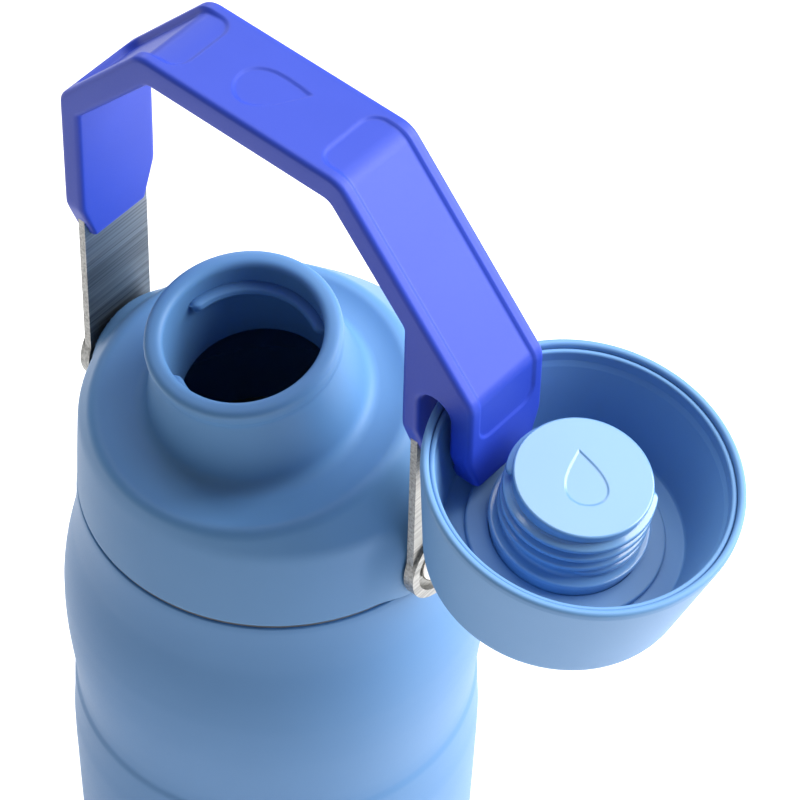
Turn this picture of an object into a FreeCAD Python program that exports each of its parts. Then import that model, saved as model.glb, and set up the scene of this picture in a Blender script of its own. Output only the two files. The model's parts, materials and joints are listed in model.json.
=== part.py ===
import FreeCAD, Part
import math
import os

# Insulated water bottle with a screw-on pouring lid, a swinging carry handle
# and a small threaded cap that is parked in the hook of the handle.
# Frame: millimetres, +Z up, origin at the centre of the flat base.
# +X runs along the handle's pivot axis towards the hook side, and the spout
# leans towards -Y.

V = FreeCAD.Vector
doc = FreeCAD.newDocument("water_jug")
sheet = doc.addObject("Spreadsheet::Sheet", "Sheet")

# ---------------------------------------------------------------- dimensions
SIZES = [
    # bottle
    ("seam_h", 196.0), ("seam_r", 49.45), ("shell_wall", 0.8), ("bulge_r", 53.9),
    ("waist_r", 51.95), ("belt_r", 53.2), ("foot_r", 52.2), ("foot_bend", 6.0),
    ("lip_r", 48.7), ("lip_wall", 0.8), ("neck_ri", 44.8), ("neck_depth", 20.0),
    ("liner_ri", 48.6), ("liner_floor", 10.0), ("plate_r", 45.6), ("plate_wall", 0.8),
    ("plate_flange", 4.0), ("seal_r", 5.0), ("seal_t", 1.5), ("getter_r", 6.0),
    ("getter_t", 2.5), ("getter_x", 25.0),
    # lid screw thread (two starts)
    ("lid_lead", 10.0), ("lid_ridge", 1.1), ("neck_turns", 0.42), ("collar_turns", 0.7),
    # lid
    ("lid_gap", 0.9), ("lid_r", 49.2), ("lid_r2", 48.2), ("lid_ring_h", 24.5),
    ("lid_wall", 2.7), ("gasket_ri", 45.0), ("gasket_ro", 47.8), ("gasket_t", 0.8),
    ("collar_ri", 39.5), ("collar_ro", 42.9), ("collar_depth", 17.0), ("collar_flange_t", 2.0),
    ("head_z", 4.1), ("head_tilt", 11.28), ("crest_r", 39.3),
    ("crest_y", -8.2), ("crest_z", 36.2), ("crest_tilt", 10.1), ("seat_d", 32.9), ("neck_base_r", 25.4), ("spout_r", 23.4), ("rim_r", 23.85),
    ("rim_d", 58.5), ("bore_r", 19.25), ("bore_d", 30.6), ("spout_lead", 7.2),
    ("spout_crest_r", 16.6), ("spout_thread_d", 45.2), ("spout_turns", 0.5),
    # pivots
    ("pivot_h", 11.8), ("boss_r", 12.7), ("boss_x", 51.0), ("boss_in", 42.6),
    ("insert_r", 4.0), ("insert_bore", 2.55), ("insert_x0", 43.0),
    ("pin_r", 4.25), ("screw_r", 2.45), ("head_rr", 7.4), ("head_t", 1.2),
    ("washer_r", 9.0), ("washer_t", 0.8), ("spring_r", 6.6), ("spring_t", 0.4),
    ("play", 0.05),
    # handle
    ("strap_t", 2.0), ("strap_w", 21.8), ("eye_r", 11.9), ("eye_seat_r", 9.6), ("eye_seat", 0.8), ("eye_rim", 0.9),
    ("strap_z1", 102.5), ("strap_x2", 29.45), ("strap_z2", 130.2),
    ("grip_w", 26.1), ("grip_xo", 56.3), ("grip_xi", 50.2), ("grip_zb", 56.1),
    ("grip_z1", 103.8), ("grip_x2", 30.5), ("grip_z2", 133.1), ("grip_zi1", 100.1),
    ("grip_xi2", 27.5), ("grip_zi2", 125.4), ("hook_x", 71.05), ("hook_z", 87.2),
    ("slot_x0", 55.2), ("slot_x1", 64.5), ("slot_top", 83.2), ("tip_x", 63.4),
    ("end_cut_y", 4.4), ("end_cut_z", 12.0),
    # cap, in its own frame: z from the closed end, mouth at the top
    ("cap_x", 94.2), ("cap_z", 72.9), ("cap_tilt", 10.6), ("cap_h", 36.6), ("cap_r", 37.5),
    ("cap_rb", 31.5), ("cap_wall", 1.8), ("bowl_rim_r", 35.5), ("bowl_ri", 34.5),
    ("bowl_floor", 12.2), ("bowl_floor_r", 28.4), ("bowl_wall", 1.6),
    ("plug_top", 35.5), ("plug_r", 16.4), ("plug_root", 15.9), ("plug_crest", 17.8),
    ("plug_wall", 2.4), ("flange_r", 18.7), ("flange_z", 16.9), ("flange_t", 1.8),
    ("seal_ro", 23.6), ("seal_ri", 18.2), ("seal_h", 1.6), ("foam_r", 28.4), ("foam_ri", 14.5),
]
VAL = {}
for i, (name, value) in enumerate(SIZES):
    cell_name = "A%d" % (i + 1)
    cell_value = "B%d" % (i + 1)
    sheet.set(cell_name, name)
    sheet.set(cell_value, repr(value))
    sheet.setAlias(cell_value, name)
    VAL[name] = value
doc.recompute()


class Dim(object):
    """A length that carries its value and the sheet expression behind it."""

    def __init__(self, value, text):
        self.v = float(value)
        self.t = text

    def _mix(self, other, sign, rev=False):
        o = other if isinstance(other, Dim) else Dim(other, repr(float(other)))
        a, b = (o, self) if rev else (self, o)
        if sign == "+":
            val = a.v + b.v
        elif sign == "-":
            val = a.v - b.v
        elif sign == "*":
            val = a.v * b.v
        else:
            val = a.v / b.v
        return Dim(val, "(%s %s %s)" % (a.t, sign, b.t))

    def __add__(self, o):
        return self._mix(o, "+")

    def __radd__(self, o):
        return self._mix(o, "+", True)

    def __sub__(self, o):
        return self._mix(o, "-")

    def __rsub__(self, o):
        return self._mix(o, "-", True)

    def __mul__(self, o):
        return self._mix(o, "*")

    def __rmul__(self, o):
        return self._mix(o, "*", True)

    def __truediv__(self, o):
        return self._mix(o, "/")


def D(name):
    return Dim(VAL[name], "Sheet." + name)


def K(number):
    return Dim(number, repr(float(number)))


def as_dim(x):
    return x if isinstance(x, Dim) else K(x)


S = D("seam_h")


# ------------------------------------------------------------------- helpers
def origin_plane(body, role):
    for f in body.Origin.OriginFeatures:
        if f.Role == role:
            return f
    raise RuntimeError("no plane " + role)


def closed_sketch(body, name, role, pts):
    """A fully constrained closed polygon; every vertex is bound to the sheet."""
    sk = body.newObject("Sketcher::SketchObject", name)
    sk.AttachmentSupport = [(origin_plane(body, role), "")]
    sk.MapMode = "FlatFace"
    pts = [(as_dim(a), as_dim(b)) for a, b in pts]
    n = len(pts)
    for i in range(n):
        a, b = pts[i], pts[(i + 1) % n]
        sk.addGeometry(Part.LineSegment(V(a[0].v, a[1].v, 0), V(b[0].v, b[1].v, 0)), False)
    import Sketcher
    for i in range(n):
        sk.addConstraint(Sketcher.Constraint("Coincident", i, 2, (i + 1) % n, 1))
    for i in range(n):
        for kind, dim in (("DistanceX", pts[i][0]), ("DistanceY", pts[i][1])):
            if abs(dim.v) < 1e-9:
                ref = -2 if kind == "DistanceX" else -1
                sk.addConstraint(Sketcher.Constraint("PointOnObject", i, 1, ref))
                continue
            c = sk.addConstraint(Sketcher.Constraint(kind, -1, 1, i, 1, dim.v))
            cname = "p%d%s" % (i, kind[-1])
            sk.renameConstraint(c, cname)
            if "Sheet." in dim.t:
                sk.setExpression("Constraints." + cname, dim.t)
    return sk


def revolved(name, pts):
    """A body turned about Z from an (r, z) outline on the XZ plane."""
    body = doc.addObject("PartDesign::Body", name)
    sk = closed_sketch(body, name + "_section", "XZ_Plane", pts)
    rev = body.newObject("PartDesign::Revolution", name + "_turned")
    rev.Profile = sk
    rev.ReferenceAxis = (sk, ["V_Axis"])
    rev.Angle = 360.0
    doc.recompute()
    return body


def cylinder(name, r, length, x=0.0, y=0.0, z=0.0, axis="Z"):
    c = doc.addObject("Part::Cylinder", name)
    for prop, dim in (("Radius", r), ("Height", length)):
        dim = as_dim(dim)
        setattr(c, prop, dim.v)
        if "Sheet." in dim.t:
            c.setExpression(prop, dim.t)
    rot = FreeCAD.Rotation() if axis == "Z" else FreeCAD.Rotation(V(0, 1, 0), 90)
    x, y, z = as_dim(x), as_dim(y), as_dim(z)
    c.Placement = FreeCAD.Placement(V(x.v, y.v, z.v), rot)
    for prop, dim in (("x", x), ("y", y), ("z", z)):
        if "Sheet." in dim.t:
            c.setExpression("Placement.Base." + prop, dim.t)
    return c


def cut(name, base, tool):
    o = doc.addObject("Part::Cut", name)
    o.Base, o.Tool = base, tool
    return o


def fuse(name, shapes):
    o = doc.addObject("Part::MultiFuse", name)
    o.Shapes = shapes
    return o


def helix_ridge(name, radius_root, radius_crest, z0, lead, turns, base_w, crest_w, start_deg):
    """One start of a screw thread: a trapezoid swept along a helix."""
    helix = Part.makeHelix(lead, lead * turns, radius_crest)
    pts = [V(radius_root, 0, -base_w / 2), V(radius_crest, 0, -crest_w / 2),
           V(radius_crest, 0, crest_w / 2), V(radius_root, 0, base_w / 2)]
    prof = Part.makePolygon(pts + [pts[0]])
    solid = Part.Wire(helix.Edges).makePipeShell([Part.Wire(prof.Edges)], True, True)
    solid.rotate(V(0, 0, 0), V(0, 0, 1), start_deg)
    solid.translate(V(0, 0, z0))
    o = doc.addObject("Part::Feature", name)
    o.Shape = solid
    return o


nodes = []


def node(obj, label):
    obj.Label = label
    nodes.append((label, obj))
    return obj


# -------------------------------------------------------------- bottle shell
# The outer wall swells below the seam, narrows to a waist, swells again in a
# belt and then runs almost straight down to a rounded foot.
wave = [(-2.0, 49.45), (-6.0, 49.6), (-15.4, 50.6), (-21.0, 51.7), (-26.4, 52.75), (-32.0, 53.5),
        (-37.4, 53.9), (-43.0, 53.95), (-48.4, 53.8), (-54.0, 53.4), (-59.4, 52.9), (-65.0, 52.35),
        (-70.4, 51.95), (-73.0, 51.95), (-77.0, 52.45), (-83.6, 52.8), (-90.2, 53.2), (-96.8, 53.17),
        (-104.5, 53.0), (-112.2, 52.85), (-121.0, 52.65), (-132.0, 52.4)]


def wave_dim(z, r, offset=0.0):
    """Ties a station of the wave to the nearest named radius of the sheet."""
    if z > -20:
        return D("seam_r") + (r - VAL["seam_r"]) - offset
    if z > -60:
        return D("bulge_r") + (r - VAL["bulge_r"]) - offset
    if z > -80:
        return D("waist_r") + (r - VAL["waist_r"]) - offset
    if z > -115:
        return D("belt_r") + (r - VAL["belt_r"]) - offset
    return D("foot_r") + (r - VAL["foot_r"]) - offset


w = D("shell_wall")
fb = VAL["foot_bend"]
outer_pts = [(D("neck_ri") + 1.5, S - 0.85), (D("seam_r") - 0.9, S - 0.85), (D("seam_r") - 0.25, S - 1.2)]
outer_pts += [(wave_dim(z, r), S + z) for z, r in wave]
outer_pts += [(D("foot_r"), K(fb + 1.0 + 0.5))]
for deg in (22.5, 45.0, 67.5, 90.0):
    a = math.radians(deg)
    outer_pts.append((D("foot_r") - fb * (1 - math.cos(a)), K(0.5 + fb * (1 - math.sin(a)))))
outer_pts += [(D("plate_r") + 0.35, K(0.5)), (D("plate_r") + 0.35, K(0.5 + VAL["shell_wall"]))]
for deg in (90.0, 67.5, 45.0, 22.5):
    a = math.radians(deg)
    rr = fb - VAL["shell_wall"]
    outer_pts.append((D("foot_r") - w - rr * (1 - math.cos(a)), K(0.5 + VAL["shell_wall"] + rr * (1 - math.sin(a)))))
outer_pts += [(D("foot_r") - w, K(fb + 1.5))]
outer_pts += [(wave_dim(z, r) - w, S + z) for z, r in reversed(wave)]
outer_pts += [(D("seam_r") - 1.1, S - 1.65), (D("neck_ri") + 1.5, S - 1.65)]
outer_shell = node(revolved("outer_shell", outer_pts), "outer_shell")

# The inner flask: a rolled lip, a straight neck with a formed thread, and a
# wide straight wall.
nr, lw = D("neck_ri"), D("lip_wall")
liner_pts = [
    (nr + 0.35, S), (D("lip_r") - 0.3, S), (D("lip_r"), S - 0.3), (D("lip_r"), S - 0.5), (D("lip_r") - 0.3, S - 0.8),
    (nr + lw, S - 0.8), (nr + lw, S - D("neck_depth")), (D("liner_ri") + lw - 0.9, S - 28.0),
    (D("liner_ri") + lw, S - 33.0), (D("liner_ri") + lw, D("liner_floor")), (D("liner_ri"), D("liner_floor")),
    (D("liner_ri"), S - 33.3), (D("liner_ri") - 0.9, S - 28.4), (nr, S - D("neck_depth") - 0.4), (nr, S - 0.35),
]
liner_body = revolved("liner_wall", liner_pts)
lead = VAL["lid_lead"]
ridge = VAL["lid_ridge"]
zs = VAL["seam_h"]
neck_ridges = [helix_ridge("neck_thread_%d" % k, VAL["neck_ri"] + 0.3, VAL["neck_ri"] - ridge, zs - 9.0,
                           lead, VAL["neck_turns"], 2.6, 1.3, 180.0 * k) for k in (0, 1)]
inner_liner = node(fuse("inner_liner", [liner_body] + neck_ridges), "inner_liner")

# Pressed floor of the inner flask, welded under its wall.
lf = D("liner_floor")
lb_r = D("liner_ri") + lw
liner_base = node(revolved("liner_base", [
    (0, lf - 2.4), (30.0, lf - 2.4), (40.0, lf - 1.6), (45.0, lf - 0.8), (lb_r, lf - 0.8), (lb_r, lf),
    (44.6, lf), (39.8, lf - 0.8), (29.8, lf - 1.6), (0, lf - 1.6)]), "liner_base")

# Outer bottom plate with an upturned weld flange; the bottle stands on it.
pr, pw = D("plate_r"), D("plate_wall")
base_plate = node(revolved("base_plate", [
    (0, 0), (pr - 0.6, 0), (pr, 0.6), (pr, D("plate_flange")), (pr - pw, D("plate_flange")),
    (pr - pw, pw + 0.3), (pr - pw - 0.3, pw), (0, pw)]), "base_plate")

# Disc that closes the evacuation hole, and the getter pill, both in the gap.
vacuum_seal = node(cylinder("vacuum_seal", D("seal_r"), D("seal_t"), 0, 0, pw), "vacuum_seal")
getter = node(cylinder("getter", D("getter_r"), D("getter_t"), D("getter_x"), 0, pw), "getter")

# -------------------------------------------------------------------- gasket
g0 = S + D("play")
lid_gasket = node(revolved("lid_gasket", [
    (D("gasket_ri"), g0), (D("gasket_ro"), g0), (D("gasket_ro"), g0 + D("gasket_t")),
    (D("gasket_ri"), g0 + D("gasket_t"))]), "lid_gasket")

# -------------------------------------------------------------------- collar
cz = S + D("lid_gap") + 0.02
cri, cro = D("collar_ri"), D("collar_ro")
cfl = D("lid_r") - D("lid_wall") - 0.3
collar_body = revolved("collar_wall", [
    (cri, S - D("collar_depth") + 1.0), (cri + 1.0, S - D("collar_depth")), (cro - 1.0, S - D("collar_depth")),
    (cro, S - D("collar_depth") + 1.0), (cro, cz), (cfl, cz), (cfl, cz + D("collar_flange_t")),
    (cri, cz + D("collar_flange_t"))])
collar_ridges = [helix_ridge("collar_thread_%d" % k, VAL["collar_ro"] - 0.3, VAL["collar_ro"] + 1.2,
                             zs - 9.0 - lead / 4 - 3.0, lead, VAL["collar_turns"], 2.6, 1.3,
                             180.0 * k - 3.0 / lead * 360.0) for k in (0, 1)]
lid_collar = node(fuse("lid_collar", [collar_body] + collar_ridges), "lid_collar")

# ------------------------------------------------------------------ lid shell
tilt = VAL["head_tilt"]
tilt_rot = FreeCAD.Rotation(V(1, 0, 0), tilt)
head_o = V(0, 0, zs + VAL["head_z"])
n_head = tilt_rot.multVec(V(0, 0, 1))


crest_rot = FreeCAD.Rotation(V(1, 0, 0), VAL["crest_tilt"])
crest_o = V(0, VAL["crest_y"], zs + VAL["crest_z"])


def circle(name, r, z=None, lift=None):
    """A level circle at height z, or one in the leaning plane of the crest."""
    c = doc.addObject("Part::Circle", name)
    r = as_dim(r)
    c.Radius = r.v
    if "Sheet." in r.t:
        c.setExpression("Radius", r.t)
    if lift is None:
        z = as_dim(z)
        c.Placement = FreeCAD.Placement(V(0, 0, z.v), FreeCAD.Rotation())
        c.setExpression("Placement.Base.z", z.t)
    else:
        c.Placement = FreeCAD.Placement(crest_o + crest_rot.multVec(V(0, 0, lift)), crest_rot)
    return c


def loft(name, sections):
    o = doc.addObject("Part::Loft", name)
    o.Sections = sections
    o.Solid = True
    o.Ruled = False
    o.Closed = False
    return o


lid_z0 = S + D("lid_gap")
ring_top = S + D("lid_ring_h")
lid_w = D("lid_wall")


def skirt(prefix, inset, z_low, lift, drop):
    """Ring of the lid and the dome that leans over to the crest of the seat."""
    low = circle(prefix + "_c0", D("lid_r") - inset, z=z_low)
    mid = circle(prefix + "_c1", D("lid_r2") - inset, z=ring_top - drop)
    cone = loft(prefix + "_ring", [low, mid])
    mid2 = circle(prefix + "_c2", D("lid_r2") - inset, z=ring_top - drop)
    top = circle(prefix + "_c3", D("crest_r") - inset, lift=lift)
    dome = loft(prefix + "_dome", [mid2, top])
    return cone, dome


out_ring, out_dome = skirt("lid_out", K(0), lid_z0, -0.7, K(0))
in_ring, in_dome = skirt("lid_in", lid_w, lid_z0 - 0.1, -3.3, K(1.2))
shoulder_a = loft("lid_shoulder_a", [circle("lid_s0", D("crest_r"), lift=-0.7), circle("lid_s1", D("crest_r") - 0.7, lift=0.15)])
shoulder_b = loft("lid_shoulder_b", [circle("lid_s2", D("crest_r") - 0.7, lift=0.15), circle("lid_s3", D("crest_r") - 2.2, lift=0.45)])

# Seat, neck and rounded rim, turned about the leaning spout axis.
sd = D("seat_d")
rd = D("rim_d")
head = revolved("lid_head", [
    (0, 27.0), (D("neck_base_r") + 4.0, 27.0), (D("neck_base_r") + 4.0, sd), (D("neck_base_r") + 2.2, sd + 0.4), (D("neck_base_r") + 0.7, sd + 1.8),
    (D("neck_base_r") - 0.4, sd + 4.5), (D("spout_r") + 0.35, rd - 12.0), (D("spout_r"), rd - 5.6), (D("rim_r"), rd - 4.0), (D("rim_r"), rd - 2.2),
    (D("rim_r") - 0.7, rd - 0.8), (D("rim_r") - 1.9, rd), (D("bore_r") + 1.5, rd), (0, rd)])
head.Placement = FreeCAD.Placement(head_o, tilt_rot)
bore = revolved("lid_bore", [
    (0, 22.0), (D("bore_r"), 22.0), (D("bore_r"), rd - 2.2), (D("bore_r") + 0.5, rd - 0.8), (D("bore_r") + 1.5, rd), (D("bore_r") + 1.5, rd + 3.0), (0, rd + 3.0)])
bore.Placement = FreeCAD.Placement(head_o, tilt_rot)

ph = S + D("pivot_h")
bosses = []
for k, sgn in enumerate((-1, 1)):
    x0 = D("boss_x") * -1.0 if sgn < 0 else D("boss_in")
    bosses.append(cylinder("boss_%d" % k, D("boss_r"), D("boss_x") - D("boss_in"), x0, 0, ph, "X"))
lid_outer = fuse("lid_outer", [out_ring, out_dome, shoulder_a, shoulder_b, head])
# The cavity leaves the boss blocks standing, so the inserts have full support.
cavity = fuse("lid_cavity", [in_ring, in_dome])
hollow = cut("lid_hollow", lid_outer, cavity)
with_bosses = fuse("lid_with_bosses", [hollow] + bosses)
below = cylinder("lid_below", 70.0, 20.0, 0, 0, lid_z0 - 20.0)
flange_room = cylinder("flange_room", D("lid_r") - lid_w + 0.1, D("collar_flange_t") + 0.3, 0, 0, lid_z0 - 0.1)
trim_a = cut("lid_trim_a", with_bosses, below)
trim_b = cut("lid_trim_b", trim_a, flange_room)
trim_c = cut("lid_trim_c", trim_b, bore)
insert_holes = []
for k, sgn in enumerate((-1, 1)):
    x0 = (D("boss_x") + 1.0) * -1.0 if sgn < 0 else D("insert_x0")
    insert_holes.append(cylinder("insert_hole_%d" % k, D("insert_r"), D("boss_x") + 1.0 - D("insert_x0"), x0, 0, ph, "X"))
holes = fuse("insert_holes", insert_holes)
trim_d = cut("lid_trim_d", trim_c, holes)
spout_ridges = []
for k in (0, 1):
    rdg = helix_ridge("spout_thread_%d" % k, VAL["bore_r"] + 0.5, VAL["spout_crest_r"], VAL["spout_thread_d"],
                      VAL["spout_lead"], VAL["spout_turns"], 3.0, 1.6, 180.0 * k + 20.0)
    rdg.Placement = FreeCAD.Placement(head_o, tilt_rot).multiply(rdg.Placement)
    spout_ridges.append(rdg)
lid_shell = node(fuse("lid_shell", [trim_d] + spout_ridges), "lid_shell")

# ------------------------------------------------------------- pivot hardware
ins, scr, wsh, spr = [], [], [], []
bx = D("boss_x")
play = D("play")
strap_x0 = bx + D("washer_t") + play
strap_x1 = strap_x0 + D("strap_t")
spring_x0 = strap_x1 - D("eye_seat") + play
head_x0 = spring_x0 + D("spring_t")


def along(x0, x1, sgn):
    """Start and length of a piece that spans x0 to x1 on the given side."""
    return (x0 if sgn > 0 else x1 * -1.0), x1 - x0


for k, sgn in enumerate((-1, 1)):
    a, ln = along(D("insert_x0"), bx, sgn)
    tube = cylinder("ins_o%d" % k, D("insert_r"), ln, a, 0, ph, "X")
    hole = cylinder("ins_i%d" % k, D("insert_bore"), ln, a, 0, ph, "X")
    ins.append(cut("ins_%d" % k, tube, hole))
    a, ln = along(D("insert_x0") + 0.5, bx, sgn)
    thread = cylinder("scr_t%d" % k, D("screw_r"), ln, a, 0, ph, "X")
    a, ln = along(bx, head_x0, sgn)
    pin = cylinder("scr_p%d" % k, D("pin_r"), ln, a, 0, ph, "X")
    a, ln = along(head_x0, head_x0 + D("head_t"), sgn)
    hd_c = cylinder("scr_h%d" % k, D("head_rr"), ln, a, 0, ph, "X")
    scr.append(fuse("scr_%d" % k, [thread, pin, hd_c]))
    a, ln = along(bx, bx + D("washer_t"), sgn)
    wo = cylinder("wsh_o%d" % k, D("washer_r"), ln, a, 0, ph, "X")
    wi = cylinder("wsh_i%d" % k, D("pin_r") + 0.02, ln, a, 0, ph, "X")
    wsh.append(cut("wsh_%d" % k, wo, wi))
    a, ln = along(spring_x0, head_x0, sgn)
    so = cylinder("spr_o%d" % k, D("spring_r"), ln, a, 0, ph, "X")
    si = cylinder("spr_i%d" % k, D("pin_r") + 0.02, ln, a, 0, ph, "X")
    spr.append(cut("spr_%d" % k, so, si))


def group(name, shapes):
    o = doc.addObject("Part::Compound", name)
    o.Links = shapes
    return node(o, name)


pivot_inserts = group("pivot_inserts", ins)
pivot_screws = group("pivot_screws", scr)
bearing_washers = group("bearing_washers", wsh)
spring_washers = group("spring_washers", spr)


# --------------------------------------------------------------------- handle
def padded(name, pts, width):
    body = doc.addObject("PartDesign::Body", name)
    sk = closed_sketch(body, name + "_outline", "XZ_Plane", pts)
    pad = body.newObject("PartDesign::Pad", name + "_pad")
    pad.Profile = sk
    pad.Length = width.v
    pad.setExpression("Length", width.t)
    pad.Midplane = True
    doc.recompute()
    return body


t = D("strap_t")
sx1, sz1, sx2, sz2 = strap_x1, S + D("strap_z1"), D("strap_x2"), S + D("strap_z2")
half = [(sx1, ph), (sx1, sz1 - 2.2), (sx1 - 1.2, sz1 + 1.0), (sx2 + 1.2, sz2 - 1.3), (sx2 - 2.6, sz2)]
inner = [(sx2 - 3.3, sz2 - t), (sx2 - 0.35, sz2 - t - 1.2), (sx1 - t - 1.0, sz1 + 0.2), (sx1 - t, sz1 - 2.6), (sx1 - t, ph)]
neg = lambda p: (p[0] * -1.0, p[1])
strap_pts = half + [neg(p) for p in reversed(half)] + [neg(p) for p in reversed(inner)] + inner
strap_bar = padded("strap_bar", strap_pts, D("strap_w"))
eyes, eye_holes = [], []
for k, sgn in enumerate((-1, 1)):
    a, ln = along(strap_x0, strap_x1, sgn)
    eyes.append(cylinder("eye_%d" % k, D("eye_r"), ln, a, 0, ph, "X"))
    a, ln = along(strap_x1 - 0.5, strap_x1 + D("eye_rim"), sgn)
    eyes.append(cylinder("eye_rim_%d" % k, D("eye_r"), ln, a, 0, ph, "X"))
    a, ln = along(strap_x1 - D("eye_seat"), strap_x1 + 3.0, sgn)
    eye_holes.append(cylinder("eye_seat_%d" % k, D("eye_seat_r"), ln, a, 0, ph, "X"))
    a, ln = along(strap_x0 - 1.0, strap_x1 + 1.0, sgn)
    eye_holes.append(cylinder("eye_hole_%d" % k, D("pin_r") + play, ln, a, 0, ph, "X"))
strap_full = fuse("strap_full", [strap_bar] + eyes)
strap_holes = fuse("strap_holes", eye_holes)
handle_strap = node(cut("handle_strap", strap_full, strap_holes), "handle_strap")

# Soft grip: a faceted arch whose +X leg is widened into a hook with a slot
# that opens downward for the rim of the cap.
xo, xi, zb = D("grip_xo"), D("grip_xi"), S + D("grip_zb")
s0, s1, st = D("slot_x0"), D("slot_x1"), S + D("slot_top")
sm = (VAL["slot_x0"] + VAL["slot_x1"]) / 2
sr_ = (VAL["slot_x1"] - VAL["slot_x0"]) / 2
arch = []
for deg in (0, 30, 60, 90, 120, 150, 180):
    a = math.radians(deg)
    arch.append(((s0 + s1) / 2.0 + sr_ * math.cos(a), st - sr_ + sr_ * math.sin(a)))
grip_pts = [
    (xo * -1.0, zb + 0.6), (xo * -1.0, S + D("grip_z1") - 2.0), (xo * -1.0 + 1.0, S + D("grip_z1") + 0.9),
    (D("grip_x2") * -1.0 - 1.2, S + D("grip_z2") - 1.0), (D("grip_x2") * -1.0 + 1.8, S + D("grip_z2")),
    (D("grip_x2") - 1.8, S + D("grip_z2")), (D("grip_x2") + 1.2, S + D("grip_z2") - 1.0),
    (D("hook_x") - 1.3, S + D("hook_z") + 1.2), (D("hook_x"), S + D("hook_z") - 2.0),
    (D("hook_x"), zb + 1.4), (D("hook_x") - 0.9, zb + 0.4), (D("tip_x") + 0.6, zb + 0.4), (D("tip_x"), zb + 1.2),
    (D("tip_x"), zb + 2.6), (s1, zb + 5.2)] + arch + [
    (s0, zb + 0.8), (s0 - 0.8, zb), (xi + 0.8, zb), (xi, zb + 0.8), (xi, S + D("grip_zi1")),
    (D("grip_xi2"), S + D("grip_zi2")), (D("grip_xi2") * -1.0, S + D("grip_zi2")),
    (xi * -1.0, S + D("grip_zi1")), (xi * -1.0, zb + 0.8), (xi * -1.0 - 0.8, zb), (xo * -1.0 + 0.6, zb)]
grip_body = padded("grip_block", grip_pts, D("grip_w"))

# Both lower ends are narrowed by slanted cuts at their corners.
ends = grip_body.newObject("Sketcher::SketchObject", "end_cuts")
ends.AttachmentSupport = [(origin_plane(grip_body, "YZ_Plane"), "")]
ends.MapMode = "FlatFace"
import Sketcher
gw = D("grip_w") / 2.0
base_i = 0
for sgn in (-1.0, 1.0):
    tri = [((gw + 1.0) * sgn, zb - 2.0), ((gw - D("end_cut_y") - 0.733) * sgn, zb - 2.0),
           ((gw + 1.0) * sgn, zb + D("end_cut_z") + 2.727)]
    for i in range(3):
        p, q = tri[i], tri[(i + 1) % 3]
        ends.addGeometry(Part.LineSegment(V(p[0].v, p[1].v, 0), V(q[0].v, q[1].v, 0)), False)
    for i in range(3):
        ends.addConstraint(Sketcher.Constraint("Coincident", base_i + i, 2, base_i + (i + 1) % 3, 1))
    for i in range(3):
        for kind, dim in (("DistanceX", tri[i][0]), ("DistanceY", tri[i][1])):
            c = ends.addConstraint(Sketcher.Constraint(kind, -1, 1, base_i + i, 1, dim.v))
            cname = "e%d%s" % (base_i + i, kind[-1])
            ends.renameConstraint(c, cname)
            ends.setExpression("Constraints." + cname, dim.t)
    base_i += 3
before = grip_body.Shape.Volume
pocket = grip_body.newObject("PartDesign::Pocket", "end_pocket")
pocket.Profile = ends
pocket.Type = "ThroughAll"
pocket.Midplane = True
doc.recompute()
if not grip_body.Shape.Volume < before - 100.0:
    raise RuntimeError("the end cuts removed nothing")

handle_grip = node(cut("handle_grip", grip_body, handle_strap), "handle_grip")

# ------------------------------------------------------------------------ cap
cap_rot = FreeCAD.Rotation(V(0, 1, 0), VAL["cap_tilt"])
cap_n = cap_rot.multVec(V(0, 0, 1))
cap_base = V(VAL["cap_x"], 0, zs + VAL["cap_z"]) - cap_n * VAL["cap_h"]
cap_place = FreeCAD.Placement(cap_base, cap_rot)


def at_cap(body):
    body.Placement = cap_place
    return body


ch, cr, crb, cw = D("cap_h"), D("cap_r"), D("cap_rb"), D("cap_wall")
cap_outer = node(at_cap(revolved("cap_outer", [
    (0, 0), (crb - 4.0, 0), (crb - 2.3, 0.45), (crb - 1.0, 1.4), (crb - 0.2, 2.8), (crb + 0.15, 4.2),
    (cr - 0.25, ch - 2.4), (cr, ch - 1.2), (cr - 0.25, ch - 0.45), (cr - 0.8, ch), (cr - 1.2, ch), (cr - 1.7, ch - 0.5),
    (cr - 1.9, ch - 1.4), (cr - cw - 0.25, ch - 2.4), (crb - cw + 0.3, 5.0), (crb - cw - 0.6, 3.2), (crb - cw - 2.0, 2.2), (0, 2.2)])), "cap_outer")
br, bi, bf, bfr, bw = D("bowl_rim_r"), D("bowl_ri"), D("bowl_floor"), D("bowl_floor_r"), D("bowl_wall")
cap_inner = node(at_cap(revolved("cap_inner", [
    (0, bf - 2.0), (bfr + 0.6, bf - 2.0), (bfr + bw, bf - 0.2), (br - 0.6, ch - 4.2), (br - 0.35, ch - 3.2), (br - 0.1, ch - 1.6), (br - 0.35, ch - 1.1),
    (bi + 0.3, ch - 1.1), (bi, ch - 1.6), (bi - 0.15, ch - 3.6), (bi - 0.7, ch - 5.2), (bfr + 0.25, bf + 2.0), (bfr - 0.4, bf + 0.6), (bfr - 1.6, bf), (0, bf)])), "cap_inner")
fr_, fz, ft = D("flange_r"), D("flange_z"), D("flange_t")
pt, pr_, proot, pwl = D("plug_top"), D("plug_r"), D("plug_root"), D("plug_wall")
plug_body = at_cap(revolved("plug_wall_body", [
    (0, pt - 2.2), (proot - pwl, pt - 2.2), (proot - pwl, bf), (D("seal_ri"), bf), (D("seal_ri"), fz), (fr_, fz), (fr_, fz + ft),
    (proot + 0.6, fz + ft), (proot, fz + ft + 0.6), (proot, pt - 2.6), (pr_, pt - 2.1), (pr_, pt - 0.6), (pr_ - 0.6, pt), (0, pt)]))
plug_ridges = []
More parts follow.
